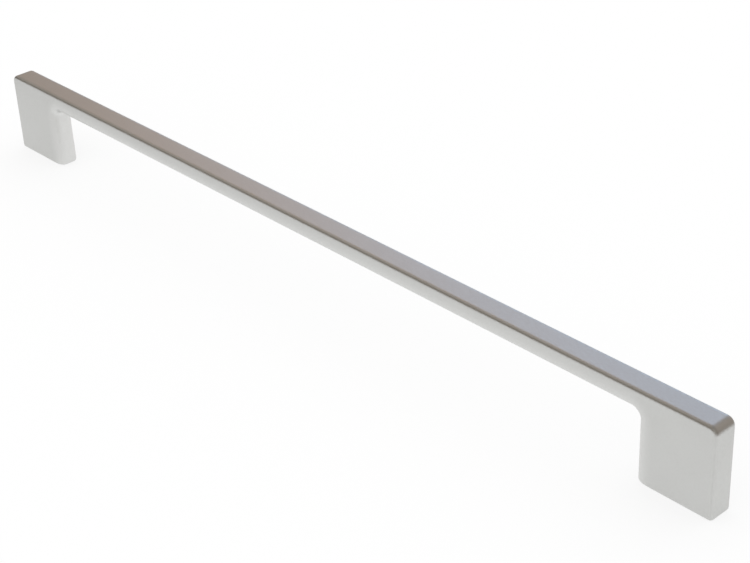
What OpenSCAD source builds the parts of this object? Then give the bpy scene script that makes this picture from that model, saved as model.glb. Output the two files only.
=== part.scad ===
// Furniture handle: a straight bar on two flat legs, cast in one piece.
// The feet stand on z = 0, x runs along the bar and the origin is midway between the feet.
// A machine screw from behind the drawer front or door goes up into each leg.

/* [Casting] */
// Distance between the centres of the two screw holes
hole_spacing = 320; // [96:32:480]
// Length of each leg, measured along the bar
leg_length = 27.6; // [16:0.2:40]
// Thickness of the whole casting, from front to back
thickness = 8.6; // [7.8:0.1:14]
// Height of the handle above the surface that it is fixed to
height = 31.5; // [24:0.5:45]
// Height of the bar itself, from its underside to its top
bar_height = 7.3; // [6:0.1:11]

/* [Rounding] */
// Radius of the outside edges, along the top, down the ends and round the feet
edge_r = 1.1; // [0.6:0.1:2]
// Radius of the edges round the finger gap, where the hand holds it
grip_edge_r = 3; // [2:0.1:3.6]
// Radius of the two top end corners, seen from the front
end_corner_r = 2.8; // [1.6:0.1:4]
// Radius of the inside corners where the legs meet the bar
inner_corner_r = 3; // [1:0.1:8]

/* [Screw holes] */
// Radius of each threaded hole, at the crests of its thread
screw_hole_r = 1.65; // [1.2:0.05:2.1]
// Depth of the threaded hole, from the foot to where the drill's cone begins
screw_hole_depth = 14; // [8:0.5:18]
// Width and depth of the chamfer at the mouth of the hole
mouth_chamfer = 0.4; // [0.1:0.1:0.8]
// Angle of the cone that the drill leaves at the end of the hole
drill_tip_angle = 118; // [90:1:140]

/* [Hidden] */
$fn = 64;

satin_nickel = [0.79, 0.79, 0.78];
// How far a rounded edge runs into the plate behind it, so that they join as one solid
overlap = 0.3;
// How far a cutter runs past the surface that it opens
cut_over = 1;

half_length = (hole_spacing + leg_length) / 2;
// Half the length and the height of the finger gap, between the legs and under the bar
gap_half_length = half_length - leg_length;
gap_height = height - bar_height;

// Outline of an arch that starts at z = low, with its two top corners rounded
module arch(half_width, low, high, corner_r) {
    straight = half_width - corner_r;
    translate([-straight, low]) square([2 * straight, high - low]);
    translate([-half_width, low]) square([2 * half_width, high - corner_r - low]);
    for (side = [-1, 1]) translate([side * straight, high - corner_r]) circle(corner_r);
}

// Sweeps a section up the legs, round the corners and along the top of an arch.
// The section's own x points away from the middle of the arch, and is 0 on its outline.
module sweep(half_width, low, high, corner_r) {
    corner_x = half_width - corner_r;
    corner_z = high - corner_r;
    translate([corner_x, 0, 0])
        rotate([0, -90, 0]) linear_extrude(2 * corner_x) translate([high, 0]) children();
    for (side = [0, 1]) mirror([side, 0, 0]) {
        translate([half_width, 0, low]) linear_extrude(corner_z - low) children();
        translate([corner_x, 0, corner_z]) rotate([90, 0, 0])
            rotate_extrude(angle = 90) translate([corner_r, 0]) children();
    }
}

// Quarter of a disc in the quadrant of +x and +y
module quarter_disc(r) {
    intersection() {
        circle(r);
        square(r);
    }
}

// Section of the casting's edge, rounded to the front and back, from x = 0 into the plate
module rounded_edge(r, width = thickness) {
    flat = width / 2 - r;
    translate([0, -flat]) square([r, 2 * flat]);
    translate([r, -width / 2]) square([overlap, width]);
    for (side = [0, 1]) {
        mirror([0, side]) translate([r, flat]) mirror([1, 0]) quarter_disc(r);
    }
}

// The plate inside the rounded edges, where the casting has its full thickness
module plate() {
    rotate([90, 0, 0]) linear_extrude(thickness, center = true) difference() {
        arch(half_length - edge_r, edge_r, height - edge_r, end_corner_r - edge_r);
        arch(gap_half_length + grip_edge_r, 0, gap_height + grip_edge_r, inner_corner_r + grip_edge_r);
    }
}

// Section of the rounding under the foot, from the flat sole out to the leg's side
module sole_edge() {
    translate([0, edge_r]) mirror([0, 1]) quarter_disc(edge_r);
}

// The foot: a flat sole whose edge is rounded all the way round the leg's outline
module foot() {
    radii = [edge_r, grip_edge_r, grip_edge_r, edge_r];
    centres = [
        for (i = [0 : 3])
            let (outer = i == 0 || i == 3, back = i < 2)
            [
                outer ? half_length - radii[i] : gap_half_length + radii[i],
                (back ? 1 : -1) * (thickness / 2 - radii[i])
            ]
    ];
    sole_width = thickness - 2 * edge_r;
    // The sole runs up into the leg
    linear_extrude(edge_r + overlap) {
        translate([gap_half_length + edge_r, 0]) rounded_edge(grip_edge_r - edge_r, sole_width);
        translate([gap_half_length + grip_edge_r, -sole_width / 2])
            square([leg_length - edge_r - grip_edge_r, sole_width]);
    }
    for (i = [0 : 3]) {
        // The sides run along x and y by turns, so only one coordinate changes
        next = centres[(i + 1) % 4];
        side_length = abs(next[i % 2] - centres[i][i % 2]);
        translate(centres[i]) {
            rotate(90 * i) rotate_extrude(angle = 90) translate([radii[i] - edge_r, 0]) sole_edge();
            rotate(90 * (i + 1)) translate([radii[i] - edge_r, side_length, 0])
                rotate([90, 0, 0]) linear_extrude(side_length) sole_edge();
        }
    }
}

// Blind hole for the fixing screw, with a chamfered mouth and the drill's cone at its end
module screw_hole() {
    mouth_r = screw_hole_r + mouth_chamfer;
    translate([0, 0, -cut_over]) cylinder(r = screw_hole_r, h = screw_hole_depth + cut_over);
    translate([0, 0, -cut_over])
        cylinder(r1 = mouth_r + cut_over, r2 = screw_hole_r, h = mouth_chamfer + cut_over);
    translate([0, 0, screw_hole_depth])
        cylinder(r1 = screw_hole_r, r2 = 0, h = screw_hole_r / tan(drill_tip_angle / 2));
}

module handle() {
    color(satin_nickel) difference() {
        union() {
            plate();
            sweep(half_length, edge_r, height, end_corner_r) mirror([1, 0]) rounded_edge(edge_r);
            sweep(gap_half_length, edge_r, gap_height, inner_corner_r) rounded_edge(grip_edge_r);
            for (side = [0, 1]) mirror([side, 0, 0]) foot();
        }
        for (side = [-1, 1]) translate([side * hole_spacing / 2, 0, 0]) screw_hole();
    }
}

handle();
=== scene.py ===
import math

import bmesh
import bpy
from mathutils import Matrix, Vector


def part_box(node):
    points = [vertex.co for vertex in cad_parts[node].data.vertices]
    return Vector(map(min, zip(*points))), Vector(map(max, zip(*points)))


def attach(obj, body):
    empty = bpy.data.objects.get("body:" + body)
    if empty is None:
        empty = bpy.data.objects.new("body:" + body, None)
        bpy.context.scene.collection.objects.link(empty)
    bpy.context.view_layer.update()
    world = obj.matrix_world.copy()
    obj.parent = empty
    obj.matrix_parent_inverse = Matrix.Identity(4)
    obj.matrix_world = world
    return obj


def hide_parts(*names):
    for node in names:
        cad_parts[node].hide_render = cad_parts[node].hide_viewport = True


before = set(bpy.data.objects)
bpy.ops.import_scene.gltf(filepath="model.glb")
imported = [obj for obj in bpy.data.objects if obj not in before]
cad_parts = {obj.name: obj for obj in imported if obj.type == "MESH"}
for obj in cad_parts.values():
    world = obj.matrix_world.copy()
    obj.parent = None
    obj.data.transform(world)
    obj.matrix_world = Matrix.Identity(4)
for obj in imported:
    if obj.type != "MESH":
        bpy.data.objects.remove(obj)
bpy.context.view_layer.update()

# Sizes of the casting, in metres. Its length, thickness and height come from the frame.
HALF_LENGTH, HALF_THICKNESS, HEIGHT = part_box("handle")[1]
LEG_LENGTH = 0.0276
BAR_HEIGHT = 0.0073
END_CORNER_R = 0.0028
INNER_CORNER_R = 0.003

# The edges are buffed before plating, so each rounding runs into its flats more softly than an arc does.
# Its corner is as full as the solid's arc, of 1.1 mm outside and 3 mm round the finger gap.
# Softness 2 is an ellipse. A reach is how far the rounding runs across the thickness or into the face.
SOFTNESS = 2.8
EDGE_REACH = 0.00147
GRIP_REACH_ACROSS = 0.0032
GRIP_REACH_INTO_FACE = 0.0056

# The blind M4 holes: the crests are as wide as the drill, and the grooves are cut into the metal.
# A groove's half width is a share of the pitch, and its bottom is flat from a share of its depth.
HOLE_X = HALF_LENGTH - LEG_LENGTH / 2
CREST_R = 0.00165
PITCH = 0.0007
GROOVE_DEPTH = 0.00033
GROOVE_HALF_WIDTH = 0.4
GROOVE_FLAT_FROM = 0.85
THREAD_END_Z = 0.0125
DRILL_END_Z = 0.014
DRILL_TIP_HALF_ANGLE = math.radians(59)
MOUTH_CHAMFER = 0.0004

# How finely the surfaces are cut
ROUNDING_STEPS = 10
CORNER_STEPS = 14
LEG_STEPS = 6
BAR_STEPS = 36
HOLE_STEPS = 40
ROWS_PER_PITCH = 8
# Edges that turn by more than this are shaded as sharp ones
SHARP_ANGLE = math.radians(32)
# How much the shading favours the large flat faces, where 50 is neutral
FLAT_FACE_WEIGHT = 90
# Vertices closer than this are one point
SAME_POINT = 1e-7

# The plating's colours: where it is darkest and lightest, and where fingers rub it, which is lighter partly
# from that wear and partly as a painted highlight on the finger gap's roundings
DARK_PLATING = (0.67, 0.674, 0.66, 1)
LIGHT_PLATING = (0.71, 0.716, 0.704, 1)
RUBBED_AND_HIGHLIGHT_PLATING = (0.80, 0.803, 0.79, 1)
# Its roughness, and how much smoother it is where fingers rub it
SMOOTH_PLATING = 0.415
ROUGH_PLATING = 0.505
RUBBED_SMOOTHER = 0.04
# The bare metal in the screw holes, where it is darkest and lightest, and its roughness
DARK_ZINC = (0.50, 0.50, 0.51, 1)
LIGHT_ZINC = (0.60, 0.60, 0.60, 1)
SMOOTH_ZINC = 0.26
ROUGH_ZINC = 0.36
# How many features the patterns in the metal have in a metre
CLOUDS_PER_METRE = 90
SPECKLES_PER_METRE = 1400
GRAINS_PER_METRE = 6500
STAINS_PER_METRE = 900
# Scale of the Wave texture for the tap's fine rings, which gives about 16 of them to a millimetre
TAP_RING_SCALE = 5000
# The values that the speckle mostly keeps between
SPECKLE_LOW = 0.3
SPECKLE_HIGH = 0.7
# How deep the ripple, the grain and the tap's rings are, and how strongly the shading follows them
RIPPLE_DEPTH = 0.00002
RIPPLE_STRENGTH = 0.5
GRAIN_DEPTH = 0.00001
GRAIN_STRENGTH = 0.25
TAP_RING_DEPTH = 0.00001
TAP_RING_STRENGTH = 0.15

# The photograph's camera. Its frame is 750 x 563 pixels, and the focal length is in those pixels.
FRAME_WIDTH_PX = 750
FOCAL_PX = 1746.67
SENSOR_WIDTH_MM = 36
CAMERA_AT = Vector((0.39973, -0.32242, 0.30906))
CAMERA_AZIMUTH = math.radians(48.681)
CAMERA_ELEVATION = math.radians(30.738)
CAMERA_ROLL = math.radians(-2.819)


# Nodes

def add_node(tree, kind, inputs=None, **settings):
    """A new node of that kind, with its settings, and its inputs set or linked by name or number."""
    node = tree.nodes.new(kind)
    for name, value in settings.items():
        setattr(node, name, value)
    for key, value in (inputs or {}).items():
        if isinstance(value, bpy.types.NodeSocket):
            tree.links.new(value, node.inputs[key])
        else:
            node.inputs[key].default_value = value
    return node


def noise(tree, place, features_per_metre, detail=2.0):
    """Noise from about 0 to 1, with about that many features in a metre."""
    inputs = {"Vector": place, "Scale": features_per_metre, "Detail": detail, "Roughness": 0.55}
    return add_node(tree, "ShaderNodeTexNoise", inputs).outputs["Fac"]


def remap(tree, value, from_low, from_high, low, high):
    """The value taken linearly from one range to another, and kept within it."""
    inputs = {"Value": value, "From Min": from_low, "From Max": from_high, "To Min": low, "To Max": high}
    return add_node(tree, "ShaderNodeMapRange", inputs).outputs["Result"]


def math_node(tree, operation, *values):
    """A Math node's result."""
    return add_node(tree, "ShaderNodeMath", dict(enumerate(values)), operation=operation).outputs[0]


def mix_colour(tree, share, first, second):
    """Two colours mixed by share, from the first at 0 to the second at 1."""
    node = add_node(tree, "ShaderNodeMix", data_type="RGBA")
    # The node has sockets of one name for each kind of value, so those for colours go by number
    for socket, value in ((node.inputs[0], share), (node.inputs[6], first), (node.inputs[7], second)):
        if isinstance(value, bpy.types.NodeSocket):
            tree.links.new(value, socket)
        else:
            socket.default_value = value
    return node.outputs[2]


def empty_material(name):
    """A new material, and its node tree with no node in it."""
    material = bpy.data.materials.new(name)
    material.use_nodes = True
    tree = material.node_tree
    tree.nodes.clear()
    return material, tree


def satin_nickel():
    """The plated outside: fine blasted grain under satin nickel, smoother where rubbed, and lighter there
    partly from that wear and partly as a painted highlight.
    """
    material, tree = empty_material("satin_nickel")
    place = add_node(tree, "ShaderNodeTexCoord").outputs["Object"]
    # How much fingers rub the metal, which also sets where the painted highlight lies
    rub_and_highlight = add_node(tree, "ShaderNodeAttribute", attribute_name="rub_and_highlight").outputs["Fac"]
    clouds = noise(tree, place, CLOUDS_PER_METRE, 3.0)
    speckle = noise(tree, place, SPECKLES_PER_METRE, 3.0)
    grain = noise(tree, place, GRAINS_PER_METRE, 2.0)

    plating = mix_colour(tree, clouds, DARK_PLATING, LIGHT_PLATING)
    # Lighter towards the rubbed colour, partly from wear and partly as a painted highlight on the finger
    # gap's roundings
    colour = mix_colour(tree, rub_and_highlight, plating, RUBBED_AND_HIGHLIGHT_PLATING)
    unrubbed = remap(tree, speckle, SPECKLE_LOW, SPECKLE_HIGH, SMOOTH_PLATING, ROUGH_PLATING)
    smoother = math_node(tree, "MULTIPLY", rub_and_highlight, RUBBED_SMOOTHER)
    roughness = math_node(tree, "SUBTRACT", unrubbed, smoother)
    ripple = add_node(tree, "ShaderNodeBump", {
        "Height": speckle, "Strength": RIPPLE_STRENGTH, "Distance": RIPPLE_DEPTH})
    bump = add_node(tree, "ShaderNodeBump", {
        "Height": grain, "Strength": GRAIN_STRENGTH, "Distance": GRAIN_DEPTH,
        "Normal": ripple.outputs["Normal"]})

    shader = add_node(tree, "ShaderNodeBsdfPrincipled", {
        "Base Color": colour, "Metallic": 1.0, "Roughness": roughness, "Normal": bump.outputs["Normal"]})
    add_node(tree, "ShaderNodeOutputMaterial", {"Surface": shader.outputs["BSDF"]})
    return material


def cut_zinc():
    """The drilled and tapped metal in the screw holes: darker and smoother, with rings from the tap."""
    material, tree = empty_material("cut_zinc")
    place = add_node(tree, "ShaderNodeTexCoord").outputs["Object"]
    rings = add_node(tree, "ShaderNodeTexWave", {
        "Vector": place, "Scale": TAP_RING_SCALE, "Distortion": 3.0, "Detail": 2.0},
        bands_direction="Z").outputs["Fac"]
    stains = noise(tree, place, STAINS_PER_METRE, 3.0)
    colour = mix_colour(tree, stains, DARK_ZINC, LIGHT_ZINC)
    roughness = remap(tree, rings, 0.0, 1.0, SMOOTH_ZINC, ROUGH_ZINC)
    bump = add_node(tree, "ShaderNodeBump", {
        "Height": rings, "Strength": TAP_RING_STRENGTH, "Distance": TAP_RING_DEPTH})
    shader = add_node(tree, "ShaderNodeBsdfPrincipled", {
        "Base Color": colour, "Metallic": 1.0, "Roughness": roughness, "Normal": bump.outputs["Normal"]})
    add_node(tree, "ShaderNodeOutputMaterial", {"Surface": shader.outputs["BSDF"]})
    return material


# The casting

def right_half_stations():
    """The right half as pairs of outline points with their outward normals, in x and z: (outer, inner).

    They run from the foot up the leg, round the corner and along the bar to its middle.
    """
    gap_half_length = HALF_LENGTH - LEG_LENGTH
    gap_height = HEIGHT - BAR_HEIGHT
    arc_x = gap_half_length - INNER_CORNER_R
    arc_z = gap_height - INNER_CORNER_R
    end_x = HALF_LENGTH - END_CORNER_R
    top_z = HEIGHT - END_CORNER_R

    stations = []
    for i in range(LEG_STEPS + 1):
        z = EDGE_REACH + (arc_z - EDGE_REACH) * i / LEG_STEPS
        stations.append((((HALF_LENGTH, z), (1, 0)), ((gap_half_length, z), (-1, 0))))

    outer_corner = []
    for i in range(1, CORNER_STEPS + 1):
        outer_corner.append(((HALF_LENGTH, arc_z + (top_z - arc_z) * i / CORNER_STEPS), (1, 0)))
    for i in range(1, CORNER_STEPS + 1):
        angle = math.pi / 2 * i / CORNER_STEPS
        normal = (math.cos(angle), math.sin(angle))
        outer_corner.append(((end_x + END_CORNER_R * normal[0], top_z + END_CORNER_R * normal[1]), normal))
    for i in range(1, CORNER_STEPS + 1):
        outer_corner.append(((end_x + (arc_x - end_x) * i / CORNER_STEPS, HEIGHT), (0, 1)))
    for i, outer in enumerate(outer_corner, 1):
        angle = math.pi / 2 * i / len(outer_corner)
        towards = (math.cos(angle), math.sin(angle))
        point = (arc_x + INNER_CORNER_R * towards[0], arc_z + INNER_CORNER_R * towards[1])
        stations.append((outer, (point, (-towards[0], -towards[1]))))

    for i in range(1, BAR_STEPS + 1):
        x = arc_x * (1 - i / BAR_STEPS)
        stations.append((((x, HEIGHT), (0, 1)), ((x, gap_height), (0, -1))))
    return stations


def soft_quarter():
    """Steps along a quarter of a soft rounding.

    Each step has its shares of the reach across the thickness, of the reach into the face and of
    the most rubbing and painted highlight.
    """
    power = 2 / SOFTNESS
    quarter = []
    for i in range(ROUNDING_STEPS + 1):
        angle = math.pi / 2 * i / ROUNDING_STEPS
        quarter.append((abs(math.cos(angle)) ** power, math.sin(angle) ** power, math.sin(angle)))
    return quarter


def section_ring(station, inset=0.0, rub_and_highlight_at_most=1.0):
    """The closed section at a station: each point's x, y and z, and how much fingers rub it, which also
    sets a painted highlight.

    The outline is drawn in by inset. Fingers rub the finger gap, and the painted highlight lies there too,
    by the most that is given, and less and less towards the front and back faces.
    """
    outer, inner = station
    ring = []
    for (point, normal), across, into_face, most_rub_and_highlight in (
            (outer, EDGE_REACH, EDGE_REACH, 0.0), (inner, GRIP_REACH_ACROSS, GRIP_REACH_INTO_FACE, rub_and_highlight_at_most)):
        arc = []
        for along_y, along_face, rub_and_highlight in soft_quarter():
            depth = into_face - (into_face - inset) * along_face
            x = point[0] - normal[0] * depth
            y = HALF_THICKNESS - across + (across - inset) * along_y
            z = point[1] - normal[1] * depth
            # How much fingers rub this point, which also sets the painted highlight on it
            arc.append((x, y, z, most_rub_and_highlight * rub_and_highlight))
        front = [(x, -y, z, rub_and_highlight) for x, y, z, rub_and_highlight in arc]
        if point == outer[0]:
            ring += front + arc[::-1]
        else:
            ring += arc + front[::-1]
    return ring


def casting_rings():
    """Every section from the right sole, over the bar, to the left sole."""
    stations = right_half_stations()
    foot = []
    outer, inner = stations[0]
    for inwards, upwards, _ in soft_quarter()[:0:-1]:
        z = EDGE_REACH * (1 - upwards)
        lowered = (((outer[0][0], z), outer[1]), ((inner[0][0], z), inner[1]))
        foot.append(section_ring(lowered, EDGE_REACH * (1 - inwards), rub_and_highlight_at_most=inwards))
    right = foot + [section_ring(s) for s in stations]
    left = [[(-x, y, z, rub_and_highlight) for x, y, z, rub_and_highlight in ring] for ring in right[-2::-1]]
    return right + left


def join_rings(bm, rings, material_index=0):
    """Quads between each ring of vertices and the next."""
    for low, high in zip(rings, rings[1:]):
        for i in range(len(low)):
            j = (i + 1) % len(low)
            face = bm.faces.new((low[i], low[j], high[j], high[i]))
            face.material_index = material_index


def hole_radius(z, angle):
    """Radius of the screw hole at a height and angle: right-hand thread, run-out and chamfered mouth."""
    turn = (z / PITCH - angle / math.tau) % 1.0
    groove = max(0.0, 1.0 - abs(turn - 0.5) / GROOVE_HALF_WIDTH) * GROOVE_DEPTH
    run_out = min(1.0, max(0.0, (THREAD_END_Z - z) / PITCH))
    chamfer = CREST_R + MOUTH_CHAMFER - z
    return max(CREST_R + min(groove, GROOVE_FLAT_FROM * GROOVE_DEPTH) * run_out, chamfer)


def add_screw_hole(bm, x):
    """The surface of the screw hole at x."""
    thread_rows = round(THREAD_END_Z / PITCH * ROWS_PER_PITCH)
    heights = [PITCH / ROWS_PER_PITCH * i for i in range(thread_rows + 1)] + [DRILL_END_Z]
    angles = [math.tau * i / HOLE_STEPS for i in range(HOLE_STEPS)]
    rings = []
    for z in heights:
        ring = []
        for angle in angles:
            r = hole_radius(z, angle)
            ring.append(bm.verts.new((x + r * math.cos(angle), r * math.sin(angle), z)))
        rings.append(ring)
    join_rings(bm, rings, 1)
    tip = bm.verts.new((x, 0, DRILL_END_Z + CREST_R / math.tan(DRILL_TIP_HALF_ANGLE)))
    for i in range(HOLE_STEPS):
        face = bm.faces.new((rings[-1][i], rings[-1][(i + 1) % HOLE_STEPS], tip))
        face.material_index = 1


def fill_soles(bm):
    """The flat soles, between each foot's outline and the mouth of its screw hole."""
    for side in (1, -1):
        open_edges = [edge for edge in bm.edges if edge.is_boundary and edge.verts[0].co.x * side > 0]
        bmesh.ops.triangle_fill(bm, use_beauty=True, use_dissolve=False, edges=open_edges)


def casting():
    """The whole casting as one closed mesh, with tapped holes in its feet."""
    bm = bmesh.new()
    # Each vertex keeps how much fingers rub it, which also sets the painted highlight there
    rub_and_highlight_layer = bm.verts.layers.float.new("rub_and_highlight")
    rings = []
    for ring in casting_rings():
        vertices = []
        for x, y, z, rub_and_highlight in ring:
            vertex = bm.verts.new((x, y, z))
            vertex[rub_and_highlight_layer] = rub_and_highlight
            vertices.append(vertex)
        rings.append(vertices)
    join_rings(bm, rings)
    for side in (1, -1):
        add_screw_hole(bm, side * HOLE_X)
    # The corners of the sole are points where an arc of the rings above has shrunk to nothing
    bmesh.ops.remove_doubles(bm, verts=bm.verts, dist=SAME_POINT)
    fill_soles(bm)
    bmesh.ops.recalc_face_normals(bm, faces=bm.faces)
    for face in bm.faces:
        face.smooth = True
    for edge in bm.edges:
        edge.smooth = edge.is_manifold and edge.calc_face_angle() < SHARP_ANGLE
    mesh = bpy.data.meshes.new("casting_skin")
    bm.to_mesh(mesh)
    bm.free()
    mesh.materials.append(satin_nickel())
    mesh.materials.append(cut_zinc())
    skin = bpy.data.objects.new("casting_skin", mesh)
    bpy.context.scene.collection.objects.link(skin)
    # Keeps the flat faces flat right up to their roundings
    weighted = skin.modifiers.new("flat_faces", "WEIGHTED_NORMAL")
    weighted.keep_sharp = True
    weighted.weight = FLAT_FACE_WEIGHT
    return skin


# The studio

def ray_is_seen(tree):
    """1 for camera, glossy and transmission rays, which show the background, and 0 for scattered light."""
    path = add_node(tree, "ShaderNodeLightPath")
    seen = math_node(tree, "MAXIMUM", path.outputs["Is Camera Ray"], path.outputs["Is Glossy Ray"])
    return math_node(tree, "MAXIMUM", seen, path.outputs["Is Transmission Ray"])


# The white table top ends this far from the handle, and the metal reflects the dim room beyond it
FLOOR_MARGIN = 0.2
# It lies this far under the soles, so that they don't share a plane
FLOOR_DROP = 0.00005
# The glow and the light that it scatters make white together, and a shadow takes away only scattered light
FLOOR_GLOW = 0.8
FLOOR_SCATTER = (0.2, 0.2, 0.2, 1)
WHITE = (1, 1, 1, 1)


def floor():
    """A plain white floor that keeps a faint shadow, and that a view from below looks through."""
    material, tree = empty_material("white_floor")
    scattered = add_node(tree, "ShaderNodeBsdfDiffuse", {"Color": FLOOR_SCATTER}).outputs["BSDF"]
    strength = math_node(tree, "MULTIPLY", ray_is_seen(tree), FLOOR_GLOW)
    glow = add_node(tree, "ShaderNodeEmission", {"Color": WHITE, "Strength": strength}).outputs["Emission"]
    front = add_node(tree, "ShaderNodeAddShader", {0: scattered, 1: glow}).outputs["Shader"]
    back = add_node(tree, "ShaderNodeBsdfTransparent").outputs["BSDF"]
    from_below = add_node(tree, "ShaderNodeNewGeometry").outputs["Backfacing"]
    shader = add_node(tree, "ShaderNodeMixShader", {0: from_below, 1: front, 2: back}).outputs["Shader"]
    add_node(tree, "ShaderNodeOutputMaterial", {"Surface": shader})

    half_x = HALF_LENGTH + FLOOR_MARGIN
    half_y = HALF_THICKNESS + FLOOR_MARGIN
    mesh = bpy.data.meshes.new("floor")
    corners = [(-half_x, -half_y, 0), (half_x, -half_y, 0), (half_x, half_y, 0), (-half_x, half_y, 0)]
    mesh.from_pydata(corners, [], [(0, 1, 2, 3)])
    mesh.materials.append(material)
    plane = bpy.data.objects.new("floor", mesh)
    plane.location.z = -FLOOR_DROP
    bpy.context.scene.collection.objects.link(plane)


def direction(azimuth, elevation):
    """Unit vector: azimuth 0 is +x and 90 is +y, and elevation is above the floor, in degrees."""
    around = math.radians(azimuth)
    rise = math.radians(elevation)
    return (math.cos(around) * math.cos(rise), math.sin(around) * math.cos(rise), math.sin(rise))


# The room that the metal reflects: a dim colour, and soft patches of light.
# Each patch has its azimuth, elevation and reach in degrees, and its colour.
ROOM_COLOUR = (0.225, 0.198, 0.168, 1)
ROOM_PATCHES = {
    "right wall": (70, 30, 50, (0.43, 0.38, 0.34, 1)),
    "lamp at the left": (189, 52, 28, (0.60, 0.55, 0.50, 1)),
    "front wall": (305, 32, 50, (0.42, 0.39, 0.355, 1)),
    "ceiling": (0, 90, 35, (0.24, 0.23, 0.22, 1)),
    "warm curtain": (131, 30, 23, (1.24, 0.76, 0.42, 1)),
    "window": (124, 25, 23, (0.79, 1.05, 1.41, 1)),
}


def studio_world():
    """Even white light on everything, and a dim room with soft patches of light where metal reflects it."""
    world = bpy.data.worlds.new("studio")
    bpy.context.scene.world = world
    # Light sampled from the world isn't a glossy ray and would be white on metal too, so it is off
    world.cycles.sampling_method = "NONE"
    world.use_nodes = True
    tree = world.node_tree
    tree.nodes.clear()
    looking = add_node(tree, "ShaderNodeTexCoord").outputs["Generated"]
    room = ROOM_COLOUR
    for azimuth, elevation, reach, colour in ROOM_PATCHES.values():
        towards = add_node(tree, "ShaderNodeVectorMath", {
            0: looking, 1: direction(azimuth, elevation)}, operation="DOT_PRODUCT").outputs["Value"]
        share = add_node(tree, "ShaderNodeMapRange", {
            "Value": towards, "From Min": math.cos(math.radians(reach)), "From Max": 1.0},
            interpolation_type="SMOOTHSTEP").outputs["Result"]
        room = mix_colour(tree, share, room, colour)
    path = add_node(tree, "ShaderNodeLightPath")
    reflected = add_node(tree, "ShaderNodeBackground", {"Color": room, "Strength": 1.0})
    even = add_node(tree, "ShaderNodeBackground", {"Color": WHITE, "Strength": 1.0})
    shader = add_node(tree, "ShaderNodeMixShader", {
        0: path.outputs["Is Glossy Ray"],
        1: even.outputs["Background"],
        2: reflected.outputs["Background"]}).outputs["Shader"]
    add_node(tree, "ShaderNodeOutputWorld", {"Surface": shader})


def camera():
    """The photograph's camera."""
    back = Vector((
        math.sin(CAMERA_AZIMUTH) * math.cos(CAMERA_ELEVATION),
        -math.cos(CAMERA_AZIMUTH) * math.cos(CAMERA_ELEVATION),
        math.sin(CAMERA_ELEVATION)))
    right = Vector((0, 0, 1)).cross(back).normalized()
    turn = Matrix((right, back.cross(right), back)).transposed() @ Matrix.Rotation(CAMERA_ROLL, 3, "Z")
    data = bpy.data.cameras.new("camera")
    data.sensor_width = SENSOR_WIDTH_MM
    data.lens = FOCAL_PX * SENSOR_WIDTH_MM / FRAME_WIDTH_PX
    data.clip_start = 0.01
    data.clip_end = 50
    viewer = bpy.data.objects.new("camera", data)
    viewer.matrix_world = Matrix.Translation(CAMERA_AT) @ turn.to_4x4()
    bpy.context.scene.collection.objects.link(viewer)
    bpy.context.scene.camera = viewer


camera()
floor()
studio_world()
skin = casting()
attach(skin, "root")
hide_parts("handle")
bpy.context.scene.view_settings.view_transform = "Standard"

bpy.context.view_layer.update()
